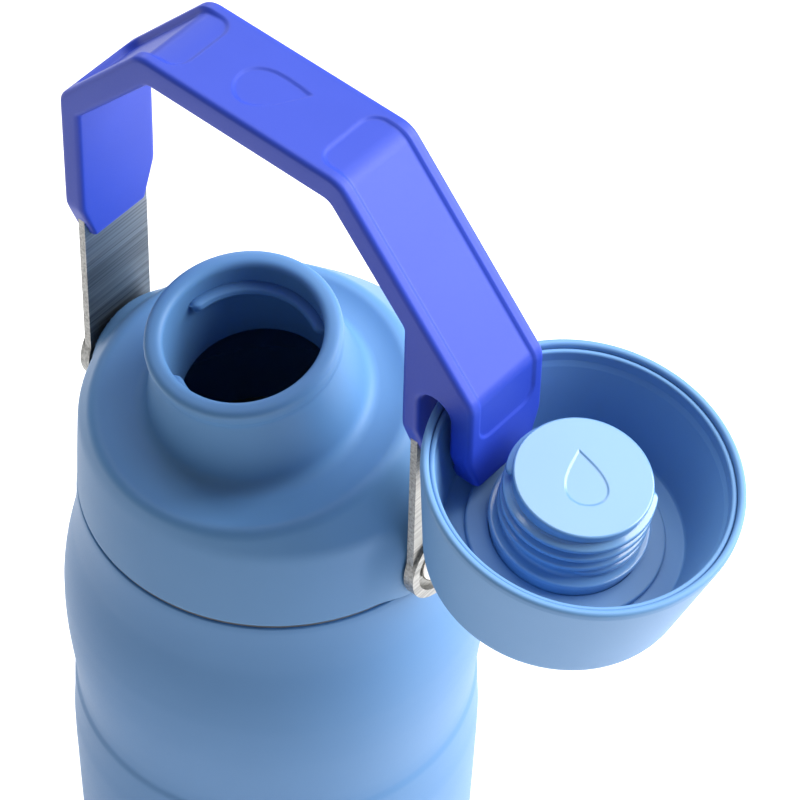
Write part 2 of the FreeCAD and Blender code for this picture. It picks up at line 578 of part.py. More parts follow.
for k in (0, 1):
    rdg = helix_ridge("plug_thread_%d" % k, VAL["plug_root"] - 0.4, VAL["plug_crest"], 22.6,
                      VAL["spout_lead"], 1.15, 2.9, 1.1, 180.0 * k + 40.0)
    rdg.Placement = cap_place.multiply(rdg.Placement)
    plug_ridges.append(rdg)
cap_plug = node(fuse("cap_plug", [plug_body] + plug_ridges), "cap_plug")
cap_seal = node(at_cap(revolved("cap_seal", [
    (D("seal_ri") + 0.05, bf + 0.02), (D("seal_ro"), bf + 0.02), (D("seal_ro"), bf + D("seal_h") - 0.4),
    (D("seal_ro") - 0.4, bf + D("seal_h")), (D("seal_ri") + 0.05, bf + D("seal_h"))])), "cap_seal")
cap_foam = node(at_cap(revolved("cap_foam", [
    (D("foam_ri"), 2.3), (crb - cw - 2.1, 2.3), (D("foam_r"), 4.6), (D("foam_r"), bf - 2.1), (D("foam_ri"), bf - 2.1)])), "cap_foam")

# -------------------------------------------------------------- check, export
doc.recompute()
bad = [o.Name for o in doc.Objects if "Invalid" in o.State or "Error" in o.State]
if bad:
    raise RuntimeError("failed objects: " + ", ".join(bad))
for label, obj in nodes:
    if obj.Shape.isNull() or not obj.Shape.isValid():
        raise RuntimeError("bad shape: " + label)
    if not obj.Shape.Solids:
        raise RuntimeError("no solid: " + label)
os.makedirs("parts", exist_ok=True)
for label, obj in nodes:
    obj.Shape.exportStep("parts/" + label + ".step")
    b = obj.Shape.BoundBox
    print("%-16s solids %d  vol %10.1f  x %7.2f %7.2f  y %7.2f %7.2f  z %7.2f %7.2f" % (
        label, len(obj.Shape.Solids), obj.Shape.Volume, b.XMin, b.XMax, b.YMin, b.YMax, b.ZMin, b.ZMax))
print("nodes:", len(nodes))
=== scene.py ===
import json
import math
import bpy
import numpy as np
from mathutils import Matrix, Vector
from mathutils.geometry import delaunay_2d_cdt


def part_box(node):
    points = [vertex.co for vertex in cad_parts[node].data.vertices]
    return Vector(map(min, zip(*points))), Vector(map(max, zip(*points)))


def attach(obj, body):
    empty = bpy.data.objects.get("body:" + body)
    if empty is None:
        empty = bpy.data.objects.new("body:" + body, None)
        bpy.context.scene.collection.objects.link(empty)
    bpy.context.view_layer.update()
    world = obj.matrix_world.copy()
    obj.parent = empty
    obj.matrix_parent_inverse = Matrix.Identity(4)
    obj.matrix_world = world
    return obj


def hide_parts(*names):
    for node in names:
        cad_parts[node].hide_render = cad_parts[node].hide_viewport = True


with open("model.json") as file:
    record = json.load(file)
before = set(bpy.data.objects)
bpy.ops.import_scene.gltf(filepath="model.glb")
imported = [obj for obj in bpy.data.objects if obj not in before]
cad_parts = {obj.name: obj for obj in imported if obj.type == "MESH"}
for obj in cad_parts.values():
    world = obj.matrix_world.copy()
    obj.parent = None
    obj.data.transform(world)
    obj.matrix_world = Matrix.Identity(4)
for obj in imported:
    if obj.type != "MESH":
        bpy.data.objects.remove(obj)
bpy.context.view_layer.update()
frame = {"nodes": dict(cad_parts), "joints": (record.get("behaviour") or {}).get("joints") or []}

# All sizes below are in millimetres and are turned into metres when a mesh is
# made. S is the height of the seam between the flask and the lid.
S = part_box("outer_shell")[1].z * 1000.0 + 0.85
joints = {j["name"]: j for j in frame["joints"]}
PIVOT_Z = joints["handle_swing"]["pos_m"][2] * 1000.0
CAP_P = np.array(joints["cap_spin"]["pos_m"]) * 1000.0
CAP_N = np.array(joints["cap_spin"]["axis"], float)
CAP_N /= np.linalg.norm(CAP_N)
HEAD_TILT = math.radians(11.28)
HEAD_O = np.array([0.0, 0.0, S + 4.1])


# ------------------------------------------------------------------- helpers
def smoothstep(x, a, b):
    t = np.clip((x - a) / (b - a), 0.0, 1.0)
    return t * t * (3 - 2 * t)


def volume(v, faces):
    total = 0.0
    for f in faces:
        a = v[f[0]]
        for i in range(1, len(f) - 1):
            total += np.dot(a, np.cross(v[f[i]], v[f[i + 1]]))
    return total / 6.0


def volume_quads(v, f):
    a, b, c, d = v[f[:, 0]], v[f[:, 1]], v[f[:, 2]], v[f[:, 3]]
    return (np.einsum("ij,ij->i", a, np.cross(b, c)).sum() + np.einsum("ij,ij->i", a, np.cross(c, d)).sum()) / 6.0


def make(name, v, faces, body, mat, replaces=(), flat=False):
    """A closed mesh from millimetre points; quads may come as an (n, 4) array."""
    v = np.asarray(v, float)
    if isinstance(faces, np.ndarray):
        if volume_quads(v, faces) < 0:
            faces = faces[:, ::-1]
        faces = faces.tolist()
    elif volume(v, faces) < 0:
        faces = [tuple(reversed(f)) for f in faces]
    mesh = bpy.data.meshes.new(name)
    mesh.from_pydata((v / 1000.0).tolist(), [], faces)
    mesh.validate()
    mesh.update()
    if not flat:
        mesh.polygons.foreach_set("use_smooth", [True] * len(mesh.polygons))
    mesh.materials.append(mat)
    obj = bpy.data.objects.new(name, mesh)
    bpy.context.scene.collection.objects.link(obj)
    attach(obj, body)
    if replaces:
        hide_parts(*replaces)
    return obj


def fillet(pts, radii, step=6.0, closed=True, pad=0.25, spacing=None):
    """Rounds the corners of a 2-D outline and adds holding points by each arc."""
    pts = [np.array(p, float) for p in pts]
    n = len(pts)
    out = []
    for i in range(n):
        p = pts[i]
        r = radii[i] if hasattr(radii, "__len__") else radii
        if (not closed and i in (0, n - 1)) or r <= 0:
            out.append(p)
            continue
        a, b = pts[(i - 1) % n], pts[(i + 1) % n]
        u, w = a - p, b - p
        lu, lw = np.linalg.norm(u), np.linalg.norm(w)
        if lu < 1e-9 or lw < 1e-9:
            out.append(p)
            continue
        u, w = u / lu, w / lw
        ang = math.acos(max(-1.0, min(1.0, float(np.dot(u, w)))))
        turn = math.pi - ang
        if turn < 1e-3:
            out.append(p)
            continue
        t = min(r * math.tan(turn / 2), 0.49 * lu, 0.49 * lw)
        rr = t / math.tan(turn / 2)
        bis = u + w
        bis /= np.linalg.norm(bis)
        c = p + bis * (rr / math.sin(ang / 2))
        s0 = p + u * t - c
        s1 = p + w * t - c
        a0 = math.atan2(s0[1], s0[0])
        a1 = math.atan2(s1[1], s1[0])
        d = (a1 - a0 + math.pi) % (2 * math.pi) - math.pi
        k = max(3, int(math.ceil(math.degrees(abs(d)) / step)))
        if lu * 0.49 > t + pad:
            out.append(p + u * (t + pad))
        for j in range(k + 1):
            q = a0 + d * j / k
            out.append(c + rr * np.array([math.cos(q), math.sin(q)]))
        if lw * 0.49 > t + pad:
            out.append(p + w * (t + pad))
    if spacing:
        dense = []
        m = len(out)
        for i in range(m if closed else m - 1):
            a, b = out[i], out[(i + 1) % m]
            k = max(1, int(math.ceil(np.linalg.norm(b - a) / spacing)))
            for j in range(k):
                dense.append(a + (b - a) * j / k)
        if not closed:
            dense.append(out[-1])
        out = dense
    keep = [out[0]]
    for p in out[1:]:
        if np.linalg.norm(p - keep[-1]) > 1e-4:
            keep.append(p)
    if closed and np.linalg.norm(keep[0] - keep[-1]) < 1e-4:
        keep.pop()
    return np.array(keep)


def lathe(profile, n, closed=True):
    """Turns an (r, z) outline about Z; points on the axis become one vertex."""
    m = len(profile)
    th = np.arange(n) * 2 * math.pi / n
    verts, index = [], []
    for r, z in profile:
        if r < 1e-6:
            index.append([len(verts)] * n)
            verts.append((0.0, 0.0, z))
        else:
            base = len(verts)
            index.append(list(range(base, base + n)))
            verts.extend(zip(r * np.cos(th), r * np.sin(th), [z] * n))
    faces = []
    for i in range(m if closed else m - 1):
        a, b = index[i], index[(i + 1) % m]
        pa, pb = a[0] == a[-1], b[0] == b[-1]
        if pa and pb:
            continue
        for j in range(n):
            k = (j + 1) % n
            if pa:
                faces.append((a[0], b[j], b[k]))
            elif pb:
                faces.append((a[j], b[0], a[k]))
            else:
                faces.append((a[j], b[j], b[k], a[k]))
    return np.array(verts, float), faces


def place(v, origin, tilt_axis, angle):
    rot = np.array(Matrix.Rotation(angle, 3, tilt_axis))
    return np.asarray(v) @ rot.T + np.asarray(origin)


CAP_TILT = math.atan2(CAP_N[0], CAP_N[2])
CAP_BASE = CAP_P - CAP_N * 36.6


def at_cap(v):
    return place(v, CAP_BASE, "Y", CAP_TILT)


def at_head(v):
    return place(v, HEAD_O, "X", HEAD_TILT)


def pchip(x, y, xs):
    """Shape-keeping cubic through the stations (x rising)."""
    x, y = np.asarray(x, float), np.asarray(y, float)
    h, dl = np.diff(x), np.diff(y) / np.diff(x)
    d = np.zeros_like(x)
    for i in range(1, len(x) - 1):
        if dl[i - 1] * dl[i] > 0:
            w1, w2 = 2 * h[i] + h[i - 1], h[i] + 2 * h[i - 1]
            d[i] = (w1 + w2) / (w1 / dl[i - 1] + w2 / dl[i])
    d[0], d[-1] = dl[0], dl[-1]
    k = np.clip(np.searchsorted(x, xs) - 1, 0, len(x) - 2)
    t = (xs - x[k]) / h[k]
    return ((2 * t**3 - 3 * t**2 + 1) * y[k] + (t**3 - 2 * t**2 + t) * h[k] * d[k]
            + (-2 * t**3 + 3 * t**2) * y[k + 1] + (t**3 - t**2) * h[k] * d[k + 1])


def polygon_distance(px, py, poly):
    """Signed distance to a closed polygon, negative inside."""
    poly = np.asarray(poly, float)
    best = np.full(px.shape, 1e9)
    inside = np.zeros(px.shape, bool)
    n = len(poly)
    for i in range(n):
        a, b = poly[i], poly[(i + 1) % n]
        e = b - a
        t = np.clip(((px - a[0]) * e[0] + (py - a[1]) * e[1]) / (e @ e), 0, 1)
        best = np.minimum(best, np.hypot(px - a[0] - t * e[0], py - a[1] - t * e[1]))
        cond = ((a[1] > py) != (b[1] > py))
        with np.errstate(divide="ignore", invalid="ignore"):
            xi = (b[0] - a[0]) * (py - a[1]) / (b[1] - a[1] + 1e-30) + a[0]
        inside ^= cond & (px < xi)
    return np.where(inside, -best, best)


def drop_outline(cx, cy, size, angle):
    """A plain water drop: a round bottom drawn up to a point."""
    pts = []
    for i in range(64):
        t = 2 * math.pi * i / 64
        r = 0.5 * size
        x = r * 0.72 * math.sin(t) * math.sin(t / 2) ** 1.25 * 1.25
        y = -r * math.cos(t) * -1.0
        pts.append((x, y))
    ca, sa = math.cos(angle), math.sin(angle)
    return [(cx + x * ca - y * sa, cy + x * sa + y * ca) for x, y in pts]


# ----------------------------------------------------------------- materials
def tex_coord(nt, stretch):
    tc = nt.nodes.new("ShaderNodeTexCoord")
    mp = nt.nodes.new("ShaderNodeMapping")
    mp.inputs["Scale"].default_value = stretch
    nt.links.new(tc.outputs["Object"], mp.inputs["Vector"])
    return mp.outputs["Vector"]


def noise(nt, vec, scale, detail=3.0, rough=0.55):
    n = nt.nodes.new("ShaderNodeTexNoise")
    n.inputs["Scale"].default_value = scale
    n.inputs["Detail"].default_value = detail
    n.inputs["Roughness"].default_value = rough
    nt.links.new(vec, n.inputs["Vector"])
    return n.outputs["Fac"]


def ramp(nt, fac, stops, interp="LINEAR"):
    r = nt.nodes.new("ShaderNodeValToRGB")
    r.color_ramp.interpolation = interp
    while len(r.color_ramp.elements) < len(stops):
        r.color_ramp.elements.new(0.5)
    for e, (pos, col) in zip(r.color_ramp.elements, stops):
        e.position = pos
        e.color = (*col, 1.0) if len(col) == 3 else col
    nt.links.new(fac, r.inputs["Fac"])
    return r.outputs["Color"]


def remap(nt, fac, lo, hi):
    m = nt.nodes.new("ShaderNodeMapRange")
    m.inputs["From Min"].default_value = 0.25
    m.inputs["From Max"].default_value = 0.75
    m.inputs["To Min"].default_value = lo
    m.inputs["To Max"].default_value = hi
    nt.links.new(fac, m.inputs["Value"])
    return m.outputs["Result"]


def material(name, tone_a, tone_b, tone_scale, rough, grain_scale, grain_mm, stretch=(1, 1, 1),
             metallic=0.0, specular=0.5, coat=0.0, coat_rough=0.1, second=None, sheen=0.0, stops=(0.35, 0.65), brushed=False):
    m = bpy.data.materials.new(name)
    m.use_nodes = True
    nt = m.node_tree
    b = nt.nodes["Principled BSDF"]
    vec = tex_coord(nt, stretch)
    plain = tex_coord(nt, (1, 1, 1))
    tone = noise(nt, vec if brushed else plain, tone_scale, 2.0)
    nt.links.new(ramp(nt, tone, [(stops[0], tone_a), (stops[1], tone_b)]), b.inputs["Base Color"])
    grain = noise(nt, vec, grain_scale, 4.0, 0.6)
    nt.links.new(remap(nt, grain, rough[0], rough[1]), b.inputs["Roughness"])
    height = grain
    if second:
        other = noise(nt, plain, second[0], 2.0)
        mix = nt.nodes.new("ShaderNodeMath")
        mix.operation = "MULTIPLY_ADD"
        nt.links.new(other, mix.inputs[0])
        mix.inputs[1].default_value = second[1]
        nt.links.new(grain, mix.inputs[2])
        height = mix.outputs[0]
    bump = nt.nodes.new("ShaderNodeBump")
    bump.inputs["Strength"].default_value = 1.0
    bump.inputs["Distance"].default_value = grain_mm / 1000.0
    nt.links.new(height, bump.inputs["Height"])
    nt.links.new(bump.outputs["Normal"], b.inputs["Normal"])
    b.inputs["Metallic"].default_value = metallic
    b.inputs["Specular IOR Level"].default_value = specular
    b.inputs["Coat Weight"].default_value = coat
    b.inputs["Coat Roughness"].default_value = coat_rough
    if sheen:
        b.inputs["Sheen Weight"].default_value = sheen
        b.inputs["Sheen Roughness"].default_value = 0.4
    return m


def srgb(r, g, b):
    f = lambda c: (c / 255.0 / 12.92) if c / 255.0 <= 0.04045 else ((c / 255.0 + 0.055) / 1.055) ** 2.4
    return (f(r), f(g), f(b))


M_BODY = material("powder_coat_blue", srgb(92, 140, 192), srgb(94, 142, 194), 30, (0.40, 0.50), 2600, 0.008,
                  specular=0.28, second=(500, 0.8))
M_LID = material("matte_plastic_blue", srgb(93, 141, 191), srgb(95, 143, 193), 40, (0.42, 0.52), 3400, 0.006, specular=0.3)
# Painted light: the cap is the lid's plastic with a lighter base colour, standing in for the stronger light that falls
# on the cap.
M_CAP_PAINTED_LIGHT = material("cap_plastic_blue_painted_light", srgb(107, 155, 206), srgb(109, 157, 208), 40, (0.40, 0.50), 3400, 0.006, specular=0.32)
M_THREAD = material("smooth_plastic_blue", srgb(112, 158, 206), srgb(114, 160, 208), 40, (0.13, 0.2), 900, 0.004,
                    coat=0.4, coat_rough=0.08)
M_GRIP = material("soft_touch_blue", srgb(42, 70, 192), srgb(44, 72, 195), 50, (0.42, 0.54), 3800, 0.012,
                  specular=0.45, second=(900, 0.5))
M_STEEL = material("brushed_steel", srgb(128, 128, 126), srgb(184, 183, 180), 1300, (0.30, 0.52), 2600, 0.03,
                   stretch=(1, 0.012, 1), metallic=1.0, stops=(0.3, 0.7), brushed=True)
M_STEEL_IN = material("drawn_steel", srgb(150, 152, 154), srgb(172, 173, 174), 60, (0.28, 0.42), 2200, 0.008,
                      stretch=(1, 1, 0.03), metallic=1.0)
M_POLISHED = material("polished_steel", srgb(196, 192, 188), srgb(206, 203, 199), 200, (0.10, 0.20), 1800, 0.003,
                      metallic=1.0)
M_SILICONE = material("silicone_blue", srgb(108, 150, 196), srgb(112, 154, 200), 60, (0.45, 0.6), 2000, 0.01,
                      specular=0.4)
M_BRASS = material("turned_brass", srgb(176, 141, 84), srgb(196, 160, 100), 200, (0.2, 0.35), 3000, 0.006,
                   metallic=1.0)
M_NYLON = material("nylon_dark", srgb(40, 43, 48), srgb(48, 51, 57), 200, (0.4, 0.55), 3000, 0.008)
M_FOAM = material("moulded_foam", srgb(232, 231, 226), srgb(244, 243, 238), 700, (0.85, 0.95), 900, 0.15)
M_DARK = material("sintered_grey", srgb(92, 93, 96), srgb(120, 121, 123), 900, (0.6, 0.8), 2500, 0.03)


# -------------------------------------------------------------- flask outside
WAVE = [(-2.0, 49.45), (-6.0, 49.6), (-15.4, 50.6), (-21.0, 51.7), (-26.4, 52.75), (-32.0, 53.5),
        (-37.4, 53.9), (-43.0, 53.95), (-48.4, 53.8), (-54.0, 53.4), (-59.4, 52.9), (-65.0, 52.35),
        (-70.4, 51.95), (-73.6, 51.9), (-74.8, 52.5), (-77.0, 52.6), (-83.6, 52.85), (-90.2, 53.2), (-96.8, 53.17),
        (-104.5, 53.0), (-112.2, 52.85), (-121.0, 52.65), (-132.0, 52.4), (-188.0, 52.2)]
wz = np.array([p[0] for p in WAVE])[::-1]
wr = np.array([p[1] for p in WAVE])[::-1]
zs = np.concatenate([np.arange(-188.0, -134.0, 3.0), np.arange(-134.0, -2.0, 0.75), [-2.0]])
rs = pchip(wz, wr, zs)
# A little smoothing keeps the swell free of facets but leaves the waist crisp.
for _ in range(1):
    q = rs.copy()
    q[1:-1] = (rs[:-2] + 2 * rs[1:-1] + rs[2:]) / 4
    rs = q
wall = 0.8
outer = [(r, S + z) for z, r in zip(zs[::-1], rs[::-1])]
top = fillet([(46.5, S - 0.5), (49.2, S - 0.5), (49.45, S - 2.0)], [0, 0.55, 0], closed=False, pad=0.1).tolist()
foot = fillet([(52.2, S - 188.0), (52.2, 0.55), (46.2, 0.55), (46.2, 1.3), (51.4, 1.3), (51.4, S - 188.0)],
              [0, 5.8, 0.25, 0.25, 5.0, 0], closed=False, step=7).tolist()
inner = [(r - wall, S + z) for z, r in zip(zs, rs)]
profile = top + outer[1:] + foot[1:] + inner[1:] + [(48.4, S - 1.65), (46.5, S - 1.65)]
v, f = lathe(np.array(profile), 288)
body_shell = make("flask_shell", v, f, "bottle", M_BODY, ["outer_shell"])


# ----------------------------------------------------------------------- lid
# Meridians run from the bottom edge over the ring, the leaning dome, the seat
# and the neck into the bore. Each is a chain of corners that get rounded.
NT = 480
th = np.arange(NT) * 2 * math.pi / NT
cth, sth = np.cos(th), np.sin(th)
ring = lambda r, z: np.stack([r * cth, r * sth, np.full(NT, S + z)], 1)
ht = HEAD_TILT


def head(r, d, shift=0.0):
    x, y, z = r * cth, r * sth + shift, np.full(NT, d)
    return np.stack([x, HEAD_O[1] + y * math.cos(ht) - z * math.sin(ht), HEAD_O[2] + y * math.sin(ht) + z * math.cos(ht)], 1)


def crest(r, lift=0.0):
    t = math.radians(10.1)
    x, y, z = r * cth, r * sth, np.full(NT, lift)
    return np.stack([x, -8.2 + y * math.cos(t) - z * math.sin(t), S + 36.2 + y * math.sin(t) + z * math.cos(t)], 1)


corners = [
    (ring(46.0, 1.4), 0.0, 1), (ring(49.2, 0.6), 0.3, 4), (ring(48.7, 14.0), 4.0, 6), (ring(48.15, 24.6), 2.2, 6),
    (crest(39.5, 0.75), 3.4, 12), (crest(34.0, -0.55), 3.0, 6), (head(27.2, 32.3), 3.6, 10), (head(24.6, 44.0), 4.0, 4),
    (head(23.4, 53.0), 1.5, 4), (head(23.9, 54.6), 0.8, 4), (head(23.9, 58.55), 2.1, 9), (head(19.25, 58.55), 2.1, 9),
    (head(19.25, 30.4), 0.5, 4), (head(31.0, 30.4), 2.0, 4), (crest(36.0, -3.2), 2.0, 4), (ring(45.4, 23.5), 2.0, 4),
    (ring(46.0, 3.2), 0.3, 3)]
seg_step = [1.0, 1.0, 0.8, 0.7, 0.6, 0.8, 0.8, 0.8, 0.8, 0.8, 0.5, 1.6, 3.0, 3.0, 3.0, 3.0, 3.0]
rows, kinds = [], []
K = len(corners)
for i, (p, tl, nb) in enumerate(corners):
    a, b = corners[(i - 1) % K][0], corners[(i + 1) % K][0]
    la = np.linalg.norm(a - p, axis=1, keepdims=True)
    lb = np.linalg.norm(b - p, axis=1, keepdims=True)
    if tl <= 0:
        entry = exit_ = p
        rows.append(p)
        kinds.append(i)
    else:
        entry = p + (a - p) / la * np.minimum(tl, 0.46 * la)
        exit_ = p + (b - p) / lb * np.minimum(tl, 0.46 * lb)
        for t in np.linspace(0, 1, nb + 1):
            rows.append((1 - t) ** 2 * entry + 2 * t * (1 - t) * p + t * t * exit_)
            kinds.append(i)
    nxt, tn, _ = corners[(i + 1) % K]
    ln = np.linalg.norm(p - nxt, axis=1, keepdims=True)
    nentry = nxt + (p - nxt) / ln * np.minimum(tn, 0.46 * ln)
    gap = float(np.linalg.norm(nentry - exit_, axis=1).max())
    k = max(1, int(math.ceil(gap / seg_step[i])))
    for j in range(1, k):
        rows.append(exit_ + (nentry - exit_) * j / k)
        kinds.append(i + 0.5)
grid = np.stack(rows, 0)
kinds = np.array(kinds)
# The pivot bosses grow out of the ring as soft round pads with flat ends.
outside = kinds < 4.9
g = grid[outside]
rho = np.hypot(g[..., 1], g[..., 2] - PIVOT_Z)
w = 1 - smoothstep(rho, 11.2, 20.5)
flat_ = 1 - smoothstep(rho, 12.2, 12.9)
xabs = np.abs(g[..., 0])
side = np.sign(g[..., 0])
reach = np.maximum(xabs, 38.0)
lifted = xabs + (51.0 - xabs) * np.maximum(w ** 1.6 * 0.93, flat_)
lifted = np.where(xabs > 30, np.maximum(xabs, lifted), xabs)
g[..., 0] = side * np.minimum(lifted, np.maximum(xabs, 51.0))
grid[outside] = g
M_, N_ = grid.shape[0], NT
idx = np.arange(M_ * N_).reshape(M_, N_)
quads = np.stack([idx, np.roll(idx, -1, 1), np.roll(np.roll(idx, -1, 1), -1, 0), np.roll(idx, -1, 0)], -1).reshape(-1, 4)
lid = make("lid_dome", grid.reshape(-1, 3), quads, "lid", M_LID, ["lid_shell"])


def ridge(name, section, lead, z0, start, turns, put, body, mat, taper=(12.0, 12.0), per_turn=180, blunt=(True, True)):
    """One screw thread start: a rounded section swept along a helix."""
    n = int(per_turn * turns)
    sec = np.asarray(section, float)
    verts = []
    for i in range(n + 1):
        a = 360.0 * turns * i / n
        k = 1.0
        if blunt[0]:
            k = min(k, math.sqrt(max(0.0, 1 - (1 - min(1.0, a / taper[0])) ** 2)))
        if blunt[1]:
            k = min(k, math.sqrt(max(0.0, 1 - (1 - min(1.0, (360.0 * turns - a) / taper[1])) ** 2)))
        k = max(k, 0.02)
        q = math.radians(start + a)
        r0 = sec[0, 0]
        r = r0 + (sec[:, 0] - r0) * k
        z = z0 + lead * a / 360.0 + sec[:, 1] * (0.45 + 0.55 * k)
        verts.extend(zip(r * math.cos(q), r * math.sin(q), z))
    m = len(sec)
    faces = []
    for i in range(n):
        for j in range(m):
            k = (j + 1) % m
            faces.append((i * m + j, i * m + k, (i + 1) * m + k, (i + 1) * m + j))
    faces.append(tuple(range(m)))
    faces.append(tuple(range(n * m, n * m + m))[::-1])
    return make(name, put(np.array(verts)), faces, body, mat)


spout_sec = fillet([(19.7, -1.9), (17.0, -1.2), (16.6, 0.0), (17.0, 1.2), (19.7, 1.9)], [0, 0.7, 0.7, 0.7, 0], step=15, pad=0.1)
ridge("spout_thread_a", spout_sec, 7.2, 48.3, 55.0, 0.342, at_head, "lid", M_LID, taper=(7, 7))
ridge("spout_thread_b", spout_sec, 7.2, 48.3, 235.0, 0.342, at_head, "lid", M_LID, taper=(7, 7))


# ----------------------------------------------------------------------- cap
cap_out = fillet([(0, 0), (31.2, 0), (37.55, 34.6), (37.55, 36.65), (35.75, 36.65), (35.6, 34.8), (30.2, 5.0), (28.4, 2.2), (0, 2.2)],
                 [0, 4.6, 1.0, 0.85, 0.85, 0.5, 2.5, 1.5, 0], closed=False, step=9, spacing=3.0)
v, f = lathe(cap_out, 256, closed=False)
cap_shell = make("cap_shell", at_cap(v), f, "cap", M_CAP_PAINTED_LIGHT, ["cap_outer"])
cap_in = fillet([(0, 10.4), (30.0, 10.4), (35.05, 32.0), (35.5, 33.4), (35.5, 35.5), (34.3, 35.5), (34.1, 32.6), (33.4, 31.0), (28.6, 13.0), (28.2, 12.2), (0, 12.2)],
                [0, 1.6, 1.0, 0.6, 0.55, 0.55, 0.8, 1.0, 1.0, 0.5, 0], closed=False, step=10, spacing=2.5)
v, f = lathe(cap_in, 256, closed=False)
cap_bowl = make("cap_bowl", at_cap(v), f, "cap", M_CAP_PAINTED_LIGHT, ["cap_inner"])

# Stopper: hollow stem, a flange above the ring seal and a flat top with a
# shallow drop mark.
NP = 288
plug_profile = fillet([(0, 33.3), (13.4, 33.3), (13.4, 12.25), (18.1, 12.25), (18.1, 16.9), (19.0, 16.9), (19.0, 18.7), (15.9, 18.7),
                       (15.9, 32.9), (16.4, 33.6), (16.4, 35.5), (14.0, 35.5)],
                      [0, 0.3, 0.3, 0.3, 0.3, 0.35, 0.5, 0.9, 0.3, 0.3, 0.55, 0], closed=False, step=12, spacing=2.0, pad=0.12)
pv, pf = lathe(plug_profile, NP, closed=False)
# Flat top as concentric rings so the mark can be pressed into it.
rr = np.linspace(14.0, 0.0, 57)[1:-1]
tht = np.arange(NP) * 2 * math.pi / NP
ring_index = [list(range(len(pv) - NP, len(pv)))]
extra = []
base = len(pv)
for r in rr:
    ring_index.append(list(range(base + len(extra), base + len(extra) + NP)))
    extra.extend(zip(r * np.cos(tht), r * np.sin(tht), [35.5] * NP))
extra.append((0.0, 0.0, 35.5))
ex = np.array(extra)
mark = polygon_distance(ex[:, 0], ex[:, 1], drop_outline(0.2, 0.0, 15.0, math.radians(50)))
deep = 1 - smoothstep(mark, -0.18, 0.18)
ex[:, 2] -= 0.28 * deep
pv = np.vstack([pv, ex])
for a, b in zip(ring_index[:-1], ring_index[1:]):
    for j in range(NP):
        k = (j + 1) % NP
        pf.append((a[j], b[j], b[k], a[k]))
c0 = len(pv) - 1
for j in range(NP):
    pf.append((ring_index[-1][j], c0, ring_index[-1][(j + 1) % NP]))
plug = make("cap_stopper", at_cap(pv), pf, "cap", M_THREAD, ["cap_plug"])
plug_sec = fillet([(15.6, -1.9), (16.3, -1.15), (17.75, -0.6), (17.75, 0.6), (16.3, 1.15), (15.6, 1.9)], [0, 0.5, 0.55, 0.55, 0.5, 0], step=15, pad=0.08)
for k in (0, 1):
    ridge("stopper_thread_%s" % "ab"[k], plug_sec, 7.2, 20.2, 130.0 + 180.0 * k, 1.75, at_cap, "cap", M_THREAD, taper=(70, 8))
seal_profile = fillet([(18.25, 12.25), (23.6, 12.25), (23.6, 13.85), (18.25, 13.85)], [0.2, 0.2, 0.6, 0.3], step=15)
v, f = lathe(seal_profile, 200)
seal = make("cap_ring_seal", at_cap(v), f, "seal", M_SILICONE, ["cap_seal"])


# ---------------------------------------------------------------------- grip
GW = 13.05
GB = S + 56.1
outline_pts = [
    (-56.3, 56.1, 1.7), (-56.3, 103.8, 5.0), (-30.5, 133.1, 7.0), (30.5, 133.1, 7.0), (71.05, 87.2, 5.5), (71.05, 56.5, 2.4),
    (63.4, 56.5, 1.8), (63.4, 60.0, 2.0), (64.5, 62.5, 2.0), (64.5, 83.2, 4.62), (55.2, 83.2, 4.62), (55.2, 56.1, 1.7),
    (50.2, 56.1, 1.7), (50.2, 100.1, 3.0), (27.5, 125.4, 3.5), (-27.5, 125.4, 3.5), (-50.2, 100.1, 1.6), (-50.2, 56.1, 1.7)]
SP = 0.45
outline = fillet([(x, S + z) for x, z, _ in outline_pts], [r for _, _, r in outline_pts], step=6, spacing=SP, pad=0.15)
n_o = len(outline)
tang = np.roll(outline, -1, 0) - np.roll(outline, 1, 0)
tang /= np.linalg.norm(tang, axis=1, keepdims=True)
area = 0.5 * np.sum(outline[:, 0] * np.roll(outline[:, 1], -1) - np.roll(outline[:, 0], -1) * outline[:, 1])
nrm = np.stack([tang[:, 1], -tang[:, 0]], 1) * (1 if area > 0 else -1)
ER = 1.45
levels = []
for ph in np.linspace(0, 90, 8):
    q = math.radians(ph)
    levels.append((-GW + ER * (1 - math.cos(q)), ER * (1 - math.sin(q))))
flat_y = np.linspace(-GW + ER, GW - ER, int(2 * (GW - ER) / 0.42) + 1)[1:-1]
ylev = [l[0] for l in levels] + flat_y.tolist() + [-l[0] for l in reversed(levels)]
inset = [l[1] for l in levels] + [0.0] * len(flat_y) + [l[1] for l in reversed(levels)]
ylev, inset = np.array(ylev), np.array(inset)
NL = len(ylev)
pos = outline[None, :, :] - nrm[None, :, :] * inset[:, None, None]
gx, gz = pos[..., 0], pos[..., 1]
gy = np.repeat(ylev[:, None], n_o, 1)

# Arc length along the outer side, measured from the middle of the top.
seg = np.linalg.norm(np.roll(outline, -1, 0) - outline, axis=1)
arc = np.concatenate([[0], np.cumsum(seg)[:-1]])
total = seg.sum()
top_mid = int(np.argmin(np.abs(outline[:, 0]) + 10 * np.abs(outline[:, 1] - (S + 133.1))))
direction = 1.0 if outline[(top_mid + 3) % n_o, 0] > outline[top_mid, 0] else -1.0
sarc = (arc - arc[top_mid]) * direction
sarc = (sarc + total / 2) % total - total / 2


def s_at(x, z):
    return sarc[int(np.argmin(np.hypot(outline[:, 0] - x, outline[:, 1] - (S + z))))]


def panel(s0, s1, half_w, r, depth_fn, edge):
    sc, sh = (s0 + s1) / 2, abs(s1 - s0) / 2
    sx = np.repeat(sarc[None, :], NL, 0)
    qx = np.abs(sx - sc) - sh + r
    qy = np.abs(gy) - half_w + r
    d = np.hypot(np.maximum(qx, 0), np.maximum(qy, 0)) + np.minimum(np.maximum(qx, qy), 0) - r
    return (1 - smoothstep(d, -edge, edge)) * depth_fn(sx)


